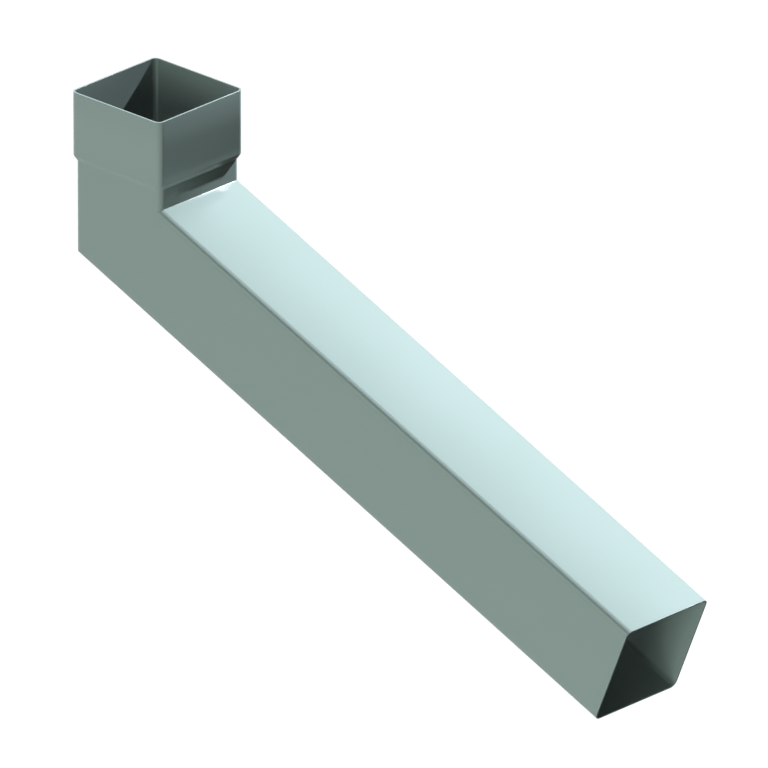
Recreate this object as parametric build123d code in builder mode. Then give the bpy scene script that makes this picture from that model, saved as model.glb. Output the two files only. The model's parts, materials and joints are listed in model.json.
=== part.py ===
from build123d import *
import os
from math import atan2, cos, radians, sin, tan

# Square downspout elbow in coated sheet metal, all in millimetres.
# Origin: centre of the socket mouth. +Z points up out of the socket, and the leg
# runs towards +X as it falls, so the elbow is symmetric about the XZ plane.

# Sheet and pipe
wall = 1.5  # sheet thickness, the same all over
pipe_width = 100.0  # neck and leg, across the outside
corner_radius = 4.5  # inside of the four folded corners
edge_break = 0.3  # burr taken off the rims of the mouth and the outlet

# Socket that slips over the spigot of the pipe above
socket_clearance = 1.0  # free space on each side of that spigot
socket_depth = 59.0  # straight wall from the mouth to the swage
swage_height = 5.0  # sloping step between the socket and the neck
swage_radius = 2.0  # inside of both bends of that step

# Bend and leg
neck_length = 19.0  # straight wall between the step and the throat of the bend
leg_fall = 22.5  # degrees below horizontal, which makes the bend a turn of 67.5
leg_length = 661.0  # along the underside, from the heel to the square-cut outlet

# Places that follow from the sizes above
socket_width = pipe_width + 2 * (socket_clearance + wall)
swage_foot = socket_depth + swage_height
swage_slope = atan2(socket_clearance + wall, swage_height)  # away from upright
turn = radians(90 - leg_fall)
mitre_reach = pipe_width / 2 * tan(turn / 2)  # along the pipe, from its axis to the throat
bend_depth = swage_foot + neck_length + mitre_reach
leg_direction = Vector(cos(radians(leg_fall)), 0, -sin(radians(leg_fall)))
outlet_centre = Vector(0, 0, -bend_depth) + leg_direction * (leg_length - mitre_reach)


def fold_edges(form, height):
    """The ring of edges that lies level at this height."""
    return form.edges().filter_by_position(Axis.Z, height - 0.01, height + 0.01)


def solid_form(inset):
    """The elbow as a solid bar, with every face drawn in by the inset."""
    socket_side = socket_width - 2 * inset
    pipe_side = pipe_width - 2 * inset
    corner = corner_radius + wall - inset
    # A sheet of even thickness folds a little higher on its inner face
    fold_rise = inset * tan(swage_slope / 2)
    upper_fold = fold_rise - socket_depth
    lower_fold = fold_rise - swage_foot

    with BuildPart() as form:
        # Socket
        with BuildSketch(Plane.XY):
            RectangleRounded(socket_side, socket_side, corner)
        extrude(amount=upper_fold)

        # Swage that draws the socket in to the width of the pipe
        with BuildSketch(Plane.XY.offset(upper_fold)):
            RectangleRounded(socket_side, socket_side, corner)
        with BuildSketch(Plane.XY.offset(lower_fold)):
            RectangleRounded(pipe_side, pipe_side, corner)
        loft(ruled=True)

        # Neck and leg, one square section carried round a crisp mitre
        with BuildLine() as axis:
            Polyline((0, 0, lower_fold), (0, 0, -bend_depth), outlet_centre)
        with BuildSketch(Plane.XY.offset(lower_fold)):
            RectangleRounded(pipe_side, pipe_side, corner)
        sweep(path=axis.line, transition=Transition.RIGHT)

        # The swage turns in at its top and straightens at its foot, each on its own bend
        fillet(fold_edges(form, upper_fold), swage_radius + wall - inset)
        fillet(fold_edges(form, lower_fold), swage_radius + inset)
    return form.part


outside = solid_form(0)
inside = solid_form(wall)

with BuildPart() as elbow:
    add(outside)
    add(inside, mode=Mode.SUBTRACT)
    # The rims of the mouth and the outlet are the only faces with a hole through them
    rims = elbow.faces().filter_by(lambda face: len(face.inner_wires()) == 1)
    fillet(rims.edges(), edge_break)

os.makedirs("parts", exist_ok=True)
elbow.part.label = "elbow"
export_step(elbow.part, "parts/elbow.step")
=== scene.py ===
import json
from math import atan2, cos, pi, radians, sin, tan

import bpy
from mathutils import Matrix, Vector


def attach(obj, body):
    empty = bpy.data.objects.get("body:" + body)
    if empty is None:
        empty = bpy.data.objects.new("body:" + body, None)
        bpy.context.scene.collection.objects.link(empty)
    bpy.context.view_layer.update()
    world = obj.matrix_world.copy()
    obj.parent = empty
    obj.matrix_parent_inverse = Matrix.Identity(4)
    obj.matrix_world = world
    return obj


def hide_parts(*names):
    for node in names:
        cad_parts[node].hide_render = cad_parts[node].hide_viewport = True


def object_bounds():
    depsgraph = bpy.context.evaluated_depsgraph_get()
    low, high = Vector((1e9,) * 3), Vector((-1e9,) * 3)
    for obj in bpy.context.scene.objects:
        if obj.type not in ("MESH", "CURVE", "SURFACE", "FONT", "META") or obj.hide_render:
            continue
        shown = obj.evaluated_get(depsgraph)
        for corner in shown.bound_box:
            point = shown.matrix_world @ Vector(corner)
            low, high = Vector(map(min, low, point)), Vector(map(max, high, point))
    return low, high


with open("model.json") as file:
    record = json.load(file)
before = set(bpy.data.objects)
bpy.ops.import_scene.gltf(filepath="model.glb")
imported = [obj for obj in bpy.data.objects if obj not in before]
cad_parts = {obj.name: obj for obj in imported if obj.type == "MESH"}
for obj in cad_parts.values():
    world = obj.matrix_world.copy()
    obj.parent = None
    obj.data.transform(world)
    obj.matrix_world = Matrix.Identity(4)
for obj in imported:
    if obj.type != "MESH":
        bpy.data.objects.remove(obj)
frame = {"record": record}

# Square downspout elbow in satin grey-green coated sheet, on a white ground.
# Metres, +Z up out of the socket, the leg falls towards +X.
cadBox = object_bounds()
scene = bpy.context.scene
middle = (cadBox[0] + cadBox[1]) / 2
print("frame loaded, box", [round(v, 4) for corner in cadBox for v in corner])


# small helpers

def newObject(name, data):
    made = bpy.data.objects.new(name, data)
    scene.collection.objects.link(made)
    return made


def aimAt(thing, target):
    thing.rotation_euler = (target - thing.location).to_track_quat("-Z", "Y").to_euler()


def squareMesh(name, size):
    half = size / 2
    mesh = bpy.data.meshes.new(name)
    corners = [(-half, -half, 0), (half, -half, 0), (half, half, 0), (-half, half, 0)]
    mesh.from_pydata(corners, [], [(0, 1, 2, 3)])
    return mesh


def emptyMaterial(name):
    material = bpy.data.materials.new(name)
    material.use_nodes = True
    material.node_tree.nodes.clear()
    return material, material.node_tree.nodes, material.node_tree.links


def mattPaint(nodes, grey):
    matt = nodes.new("ShaderNodeBsdfDiffuse")
    matt.inputs["Color"].default_value = (grey, grey, grey, 1)
    return matt.outputs["BSDF"]


def seenStraight(nodes, links):
    # 1 for what the camera sees, also in a reflection or through glass
    path = nodes.new("ShaderNodeLightPath")
    glossy = nodes.new("ShaderNodeMath")
    glossy.operation = "MAXIMUM"
    links.new(path.outputs["Is Camera Ray"], glossy.inputs[0])
    links.new(path.outputs["Is Glossy Ray"], glossy.inputs[1])
    through = nodes.new("ShaderNodeMath")
    through.operation = "MAXIMUM"
    links.new(glossy.outputs[0], through.inputs[0])
    links.new(path.outputs["Is Transmission Ray"], through.inputs[1])
    return through.outputs[0]


# the coating: satin powder paint, with the fine orange peel that it dries to

coating = {
    "colour": (0.335, 0.46, 0.41),
    "roughness": 0.24,
    "roughnessSpread": 0.03,
    "cloudSize": 0.09,       # across a patch that is a little more or less glossy
    "cloudDetail": 3,
    "peelSize": 0.0016,      # from crest to crest
    "peelHeight": 0.000008,
    "peelDetail": 1,
}


def coatedSheet():
    material, nodes, links = emptyMaterial("coatedSheet")
    out = nodes.new("ShaderNodeOutputMaterial")
    paint = nodes.new("ShaderNodeBsdfPrincipled")
    links.new(paint.outputs["BSDF"], out.inputs["Surface"])
    paint.inputs["Base Color"].default_value = (*coating["colour"], 1)

    where = nodes.new("ShaderNodeTexCoord")

    clouds = nodes.new("ShaderNodeTexNoise")
    clouds.inputs["Scale"].default_value = 1 / coating["cloudSize"]
    clouds.inputs["Detail"].default_value = coating["cloudDetail"]
    links.new(where.outputs["Object"], clouds.inputs["Vector"])
    spread = nodes.new("ShaderNodeMapRange")
    spread.inputs["To Min"].default_value = coating["roughness"] - coating["roughnessSpread"]
    spread.inputs["To Max"].default_value = coating["roughness"] + coating["roughnessSpread"]
    links.new(clouds.outputs["Fac"], spread.inputs["Value"])
    links.new(spread.outputs["Result"], paint.inputs["Roughness"])

    peel = nodes.new("ShaderNodeTexNoise")
    peel.inputs["Scale"].default_value = 1 / coating["peelSize"]
    peel.inputs["Detail"].default_value = coating["peelDetail"]
    links.new(where.outputs["Object"], peel.inputs["Vector"])
    bump = nodes.new("ShaderNodeBump")
    bump.inputs["Strength"].default_value = 1
    bump.inputs["Distance"].default_value = coating["peelHeight"]
    links.new(peel.outputs["Fac"], bump.inputs["Height"])
    links.new(bump.outputs["Normal"], paint.inputs["Normal"])
    return material


# the elbow: a skin of even quads that runs down the outside, over the rim of the outlet,
# back up the inside and over the rim of the mouth, ring after ring

elbow = {
    "sheet": 0.0015,
    "pipeWidth": 0.100,
    "socketWidth": 0.105,
    "cornerRadius": 0.006,      # outside
    "rimRadius": 0.0001,        # where the burr is off
    "cutShort": 0.0002,         # so that the crisp edge of the outlet keeps inside the solid's box
    "socketDepth": 0.059,
    "swageHeight": 0.005,
    "swageRadius": 0.002,       # inside of both folds
    "mitreDressing": 0.0005,    # the weld is dressed this far to each side of the mitre
    "cornerParts": 8,           # quads round a folded corner
    "flatParts": 6,             # quads across a flat
    "socketRows": 8,            # rows of quads down the socket, and so on to the outlet
    "foldParts": 4,
    "neckRows": 4,
    "mitreParts": 4,
    "legRows": 16,
    "rimParts": 3,
    # degrees, for the shading only: folded walls are never quite flat
    "mouthCrown": 2.5,          # a flat at the rim turns this far towards the folds beside it
    "socketCrown": 0.0,         # the same in the lower half of the socket
    "neckCrown": 7.0,
    "legCrown": 5.0,
    "mouthLean": 3.5,           # the socket's flats turn this far up at the rim
    "socketLean": -4.0,         # and down in the lower half
}
outlet = next(mount for mount in frame["record"]["mounts"] if mount["name"] == "outlet")
legAxis = Vector(outlet["axis"]).normalized()
bendTurn = atan2(legAxis.x, -legAxis.z)          # from straight down
legSpan = outlet["pos_m"][0] / legAxis.x         # along the axis, from the bend to the outlet
bendDepth = legSpan * legAxis.z - outlet["pos_m"][2]
mitreSlope = tan(bendTurn / 2)


def squareRing(half, radius, crown):
    # (x, y, way that it faces) round a square with rounded corners: the flats that look to +X
    # and -X are crowned, the two at the sides are plane
    flat = half - radius
    ring = []
    for side, turn in enumerate((0, pi / 2, pi, 3 * pi / 2)):
        # the crown of this flat and of the next one
        here, there = (radians(crown), 0) if side % 2 == 0 else (0, radians(crown))
        quarter = []
        for step in range(elbow["flatParts"]):
            part = 2 * step / elbow["flatParts"] - 1
            quarter.append((half, flat * part, here * part))
        for step in range(elbow["cornerParts"]):
            part = step / elbow["cornerParts"]
            angle = pi / 2 * part
            faces = here + (pi / 2 - here - there) * part
            quarter.append((flat + radius * cos(angle), flat + radius * sin(angle), faces))
        for x, y, faces in quarter:
            ring.append((x * cos(turn) - y * sin(turn), x * sin(turn) + y * cos(turn), faces + turn))
    return ring


class Skin:
    # the rings of one face of the sheet, with the way that each point faces

    def __init__(self):
        self.points, self.facing = [], []

    def add(self, ring, place, turned, side, lean):
        # place puts an (x, y) of the ring into the model, turned is how far the duct has bent by then
        across = Vector((cos(turned), 0, sin(turned)))
        onward = Vector((sin(turned), 0, -cos(turned)))
        points, facing = [], []
        for x, y, faces in ring:
            points.append(place(x, y))
            outward = across * cos(faces) + Vector((0, 1, 0)) * sin(faces)
            facing.append(side * cos(lean) * outward + sin(lean) * onward)
        self.points.append(points)
        self.facing.append(facing)


def levelPlace(depth):
    return lambda x, y: Vector((x, y, -depth))


def neckPlace(part, top):
    # part of the way down from the step to the mitre
    def place(x, y):
        end = bendDepth - x * mitreSlope - elbow["mitreDressing"]
        return Vector((x, y, -top - (end - top) * part))
    return place


def mitrePlace(turned):
    setback = elbow["mitreDressing"]
    radius = setback / mitreSlope
    return lambda x, y: Vector((
        x + radius * (1 - cos(turned)),
        y,
        -bendDepth + x * mitreSlope + setback - radius * sin(turned),
    ))


def legPlace(part, back):
    # part of the way from the mitre to the outlet, less a little at the end
    upward = Vector((cos(bendTurn), 0, sin(bendTurn)))

    def place(x, y):
        start = x * mitreSlope + elbow["mitreDressing"]
        along = start + (legSpan - elbow["cutShort"] - back - start) * part
        return Vector((0, y, -bendDepth)) + upward * x + legAxis * along
    return place


def faceOfSheet(skin, inset, side):
    # rings of one face of the sheet, from the mouth to the outlet: side is 1 outside, -1 inside
    wide = elbow["socketWidth"] / 2 - inset
    narrow = elbow["pipeWidth"] / 2 - inset
    corner = elbow["cornerRadius"] - inset
    slope = atan2(wide - narrow, elbow["swageHeight"])
    rise = inset * tan(slope / 2)
    upperRadius = elbow["swageRadius"] + elbow["sheet"] - inset
    lowerRadius = elbow["swageRadius"] + inset
    foldTop = elbow["socketDepth"] - rise - upperRadius * tan(slope / 2)
    foldFoot = elbow["socketDepth"] + elbow["swageHeight"] - rise + lowerRadius * tan(slope / 2)
    rim, rimParts = elbow["rimRadius"], elbow["rimParts"]

    for step in range(rimParts, 0, -1):
        tip = pi / 2 * step / rimParts
        inward = side * rim * (1 - cos(tip))
        rimRing = squareRing(wide - inward, corner - inward, elbow["mouthCrown"])
        skin.add(rimRing, levelPlace(rim - rim * sin(tip)), 0, side, -tip)

    # the socket, whose shading changes from the rim to half way down
    rows = elbow["socketRows"]
    for row in range(rows):
        near = max(0, 1 - 2 * row / rows)
        upTurn = elbow["socketLean"] + (elbow["mouthLean"] - elbow["socketLean"]) * near
        lean = -radians(upTurn) if side > 0 else 0
        crown = elbow["socketCrown"] + (elbow["mouthCrown"] - elbow["socketCrown"]) * near
        ring = squareRing(wide, corner, crown)
        skin.add(ring, levelPlace(rim + (foldTop - rim) * row / rows), 0, side, lean)

    # the step, a fold in at its top and a fold back at its foot
    folds = elbow["foldParts"]
    for step in range(folds + 1):
        tip = slope * step / folds
        inward = upperRadius * (1 - cos(tip))
        ring = squareRing(wide - inward, corner, elbow["socketCrown"])
        skin.add(ring, levelPlace(foldTop + upperRadius * sin(tip)), 0, side, side * tip)
    for step in range(folds, -1, -1):
        tip = slope * step / folds
        outward = lowerRadius * (1 - cos(tip))
        ring = squareRing(narrow + outward, corner, elbow["neckCrown"])
        skin.add(ring, levelPlace(foldFoot - lowerRadius * sin(tip)), 0, side, side * tip)

    ring = squareRing(narrow, corner, elbow["neckCrown"])
    for row in range(1, elbow["neckRows"]):
        skin.add(ring, neckPlace(row / elbow["neckRows"], foldFoot), 0, side, 0)

    ring = squareRing(narrow, corner, elbow["legCrown"])
    for step in range(elbow["mitreParts"] + 1):
        turned = bendTurn * step / elbow["mitreParts"]
        skin.add(ring, mitrePlace(turned), turned, side, 0)
    for row in range(1, elbow["legRows"] + 1):
        skin.add(ring, legPlace(row / elbow["legRows"], rim), bendTurn, side, 0)

    for step in range(1, rimParts + 1):
        tip = pi / 2 * step / rimParts
        inward = side * rim * (1 - cos(tip))
        rimRing = squareRing(narrow - inward, corner - inward, elbow["legCrown"])
        skin.add(rimRing, legPlace(1, rim - rim * sin(tip)), bendTurn, side, tip)


def buildElbow():
    outside, inside = Skin(), Skin()
    faceOfSheet(outside, 0, 1)
    faceOfSheet(inside, elbow["sheet"], -1)
    rings = outside.points + inside.points[::-1]
    facing = outside.facing + inside.facing[::-1]
    around = len(rings[0])
    quads = []
    for ring in range(len(rings)):
        here, there = ring * around, (ring + 1) % len(rings) * around
        for step in range(around):
            onward = (step + 1) % around
            quads.append((here + step, there + step, there + onward, here + onward))
    mesh = bpy.data.meshes.new("coatedElbow")
    mesh.from_pydata([point for ring in rings for point in ring], [], quads)
    mesh.shade_smooth()
    mesh.normals_split_custom_set_from_vertices([way for ring in facing for way in ring])
    mesh.materials.append(coatedSheet())
    piece = newObject("coatedElbow", mesh)
    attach(piece, "root")
    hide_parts("elbow")
    piece.visible_diffuse = False    # the photo shows no light thrown from wall to wall inside the duct
    return piece


piece = buildElbow()
print("elbow built,", len(piece.data.polygons), "quads")


# floor, so far below the hanging elbow that its shadow falls outside the photograph's frame

groundFloor = {
    "size": 60.0,
    "below": 4.5,
    "seenGrey": 0.22,        # what the camera sees: this paint, lit and shaded by the lamps,
    "seenGlow": 0.75,        # on top of this much white, so that only a shadow is less than white
    "thrownGrey": 0.04,      # how much of the lamps' light it throws back at the elbow
}


def paleFloor():
    mesh = squareMesh("floor", groundFloor["size"])
    floor = newObject("floor", mesh)
    floor.location.z = cadBox[0].z - groundFloor["below"]
    material, nodes, links = emptyMaterial("paleFloor")
    out = nodes.new("ShaderNodeOutputMaterial")
    white = nodes.new("ShaderNodeEmission")
    white.inputs["Color"].default_value = (1, 1, 1, 1)
    white.inputs["Strength"].default_value = groundFloor["seenGlow"]
    both = nodes.new("ShaderNodeAddShader")
    links.new(mattPaint(nodes, groundFloor["seenGrey"]), both.inputs[0])
    links.new(white.outputs["Emission"], both.inputs[1])
    pick = nodes.new("ShaderNodeMixShader")
    links.new(seenStraight(nodes, links), pick.inputs["Fac"])
    links.new(mattPaint(nodes, groundFloor["thrownGrey"]), pick.inputs[1])
    links.new(both.outputs["Shader"], pick.inputs[2])
    links.new(pick.outputs["Shader"], out.inputs["Surface"])
    mesh.materials.append(material)


paleFloor()
print("floor laid")


# light, set for the photograph's view: a sun from behind, the rest to bring up each side

surround = {"strength": 0.006, "colour": (1.0, 1.0, 1.0)}    # its light, the camera sees it white
sunLamps = {
    "key": {
        "towards": (0.098, 0.741, 0.664),
        "strength": 6.0,
        "angle": 1.2,        # degrees across, as for the others
        "colour": (1.01, 1.0, 1.13),
    },
}
mirrorLamps = {      # broad lamps that only the sheen of the paint shows
    "behind": {
        "towards": (0.0, 0.643, 0.766),
        "strength": 0.49,
        "angle": 40,
        "colour": (0.77, 1.0, 0.97),
    },
    "overhead": {
        "towards": (-0.06, -0.18, 0.98),
        "strength": 0.60,
        "angle": 40,
        "colour": (0.80, 0.97, 1.03),
    },
    "left": {
        "towards": (-0.32, -0.85, 0.38),
        "strength": 0.48,
        "angle": 40,
        "colour": (0.80, 1.0, 1.0),
    },
}
softLamps = {        # broad lamps without a sheen, which would show as stripes on the folds
    "front": {
        "towards": (0.18, -0.98, 0.08),
        "strength": 0.94,
        "angle": 36,
        "colour": (0.98, 1.0, 0.99),
    },
    "heel": {
        "towards": (-0.95, 0.0, 0.31),
        "strength": 0.8,
        "angle": 25,
        "colour": (1.0, 1.0, 1.0),
    },
}
boxLamps = {         # square lamps that stand above the floor and shine a little upwards
    "low": {"towards": (0.13, -0.885, -0.45), "away": 5.0, "size": 2.4, "strength": 0.85},
    "end": {"towards": (0.96, 0.0, -0.28), "away": 5.0, "size": 2.0, "strength": 0.10},
}
# the cards keep the white surround out of the sheen on the faces that look along the leg and down
darkCards = {
    "side": {"towards": (0.46, 0.69, -0.55), "away": 2.5, "size": 3.6, "grey": 0.02},
    "below": {"towards": (-0.632, -0.082, -0.77), "away": 2.5, "size": 2.0, "grey": 0.5},
}
sunAway = 3.0        # where a sun hangs, which makes no difference to its light


def whiteSurround():
    world = bpy.data.worlds.new("surround")
    scene.world = world
    world.use_nodes = True
    nodes, links = world.node_tree.nodes, world.node_tree.links
    nodes.clear()
    out = nodes.new("ShaderNodeOutputWorld")
    soft = nodes.new("ShaderNodeBackground")
    soft.inputs["Color"].default_value = (*surround["colour"], 1)
    soft.inputs["Strength"].default_value = surround["strength"]
    white = nodes.new("ShaderNodeBackground")
    white.inputs["Color"].default_value = (1, 1, 1, 1)
    white.inputs["Strength"].default_value = 1
    pick = nodes.new("ShaderNodeMixShader")
    links.new(seenStraight(nodes, links), pick.inputs["Fac"])
    links.new(soft.outputs[0], pick.inputs[1])
    links.new(white.outputs[0], pick.inputs[2])
    links.new(pick.outputs[0], out.inputs["Surface"])


def hangSun(name, lamp):
    data = bpy.data.lights.new(name, "SUN")
    data.energy = lamp["strength"]
    data.angle = radians(lamp["angle"])
    data.color = lamp["colour"]
    sun = newObject(name, data)
    sun.location = middle + Vector(lamp["towards"]) * sunAway
    aimAt(sun, middle)
    return sun


def hangBox(name, lamp):
    data = bpy.data.lights.new(name, "AREA")
    data.size = lamp["size"]
    data.energy = pi * lamp["away"] ** 2 * lamp["strength"]      # as bright as such a sun
    box = newObject(name, data)
    box.location = middle + Vector(lamp["towards"]).normalized() * lamp["away"]
    box.visible_camera = False
    box.visible_glossy = False       # the sheen on those sides is of the white surround
    aimAt(box, middle)


def hangLights():
    for name, lamp in sunLamps.items():
        hangSun(name, lamp)
    for name, lamp in mirrorLamps.items():
        hangSun(name, lamp).visible_diffuse = False
    for name, lamp in softLamps.items():
        hangSun(name, lamp).visible_glossy = False
    for name, lamp in boxLamps.items():
        hangBox(name, lamp)


def standCards():
    for name, card in darkCards.items():
        mesh = squareMesh(name + "Card", card["size"])
        material, nodes, links = emptyMaterial(name + "Card")
        out = nodes.new("ShaderNodeOutputMaterial")
        links.new(mattPaint(nodes, card["grey"]), out.inputs["Surface"])
        mesh.materials.append(material)
        sheet = newObject(name + "Card", mesh)
        sheet.location = middle + Vector(card["towards"]).normalized() * card["away"]
        sheet.visible_camera = False
        aimAt(sheet, middle)


whiteSurround()
hangLights()
standCards()
print("lights up")


# camera: the photograph is a parallel view, so the lens is very long

photograph = {
    "azimuth": 43.454,
    "elevation": 23.304,
    "lens": 1700.0,
    "sensor": 36.0,
    "points": 768,               # across the picture
    "mouthAt": (157.16, 90.09),  # the centre of the socket's mouth, in picture points
    "pointsPerMetre": 1170.12,   # in the plane through that centre
    "clipFrom": 0.5,             # parts of the way to the elbow
    "clipTo": 4.0,
}


def setCamera():
    turn, tilt = radians(photograph["azimuth"]), radians(photograph["elevation"])
    back = Vector((sin(turn) * cos(tilt), -cos(turn) * cos(tilt), sin(tilt)))
    right = Vector((cos(turn), sin(turn), 0))
    up = back.cross(right)
    half = photograph["points"] / 2
    across = (half - photograph["mouthAt"][0]) / photograph["pointsPerMetre"]
    down = (half - photograph["mouthAt"][1]) / photograph["pointsPerMetre"]
    width = photograph["points"] / photograph["pointsPerMetre"]
    distance = photograph["lens"] / photograph["sensor"] * width
    data = bpy.data.cameras.new("camera")
    data.lens = photograph["lens"]
    data.sensor_width = photograph["sensor"]
    data.clip_start = distance * photograph["clipFrom"]
    data.clip_end = distance * photograph["clipTo"]
    camera = newObject("camera", data)
    camera.location = right * across - up * down + back * distance
    camera.rotation_euler = back.to_track_quat("Z", "Y").to_euler()
    scene.camera = camera


setCamera()
scene.view_settings.view_transform = "Standard"
print("camera set")
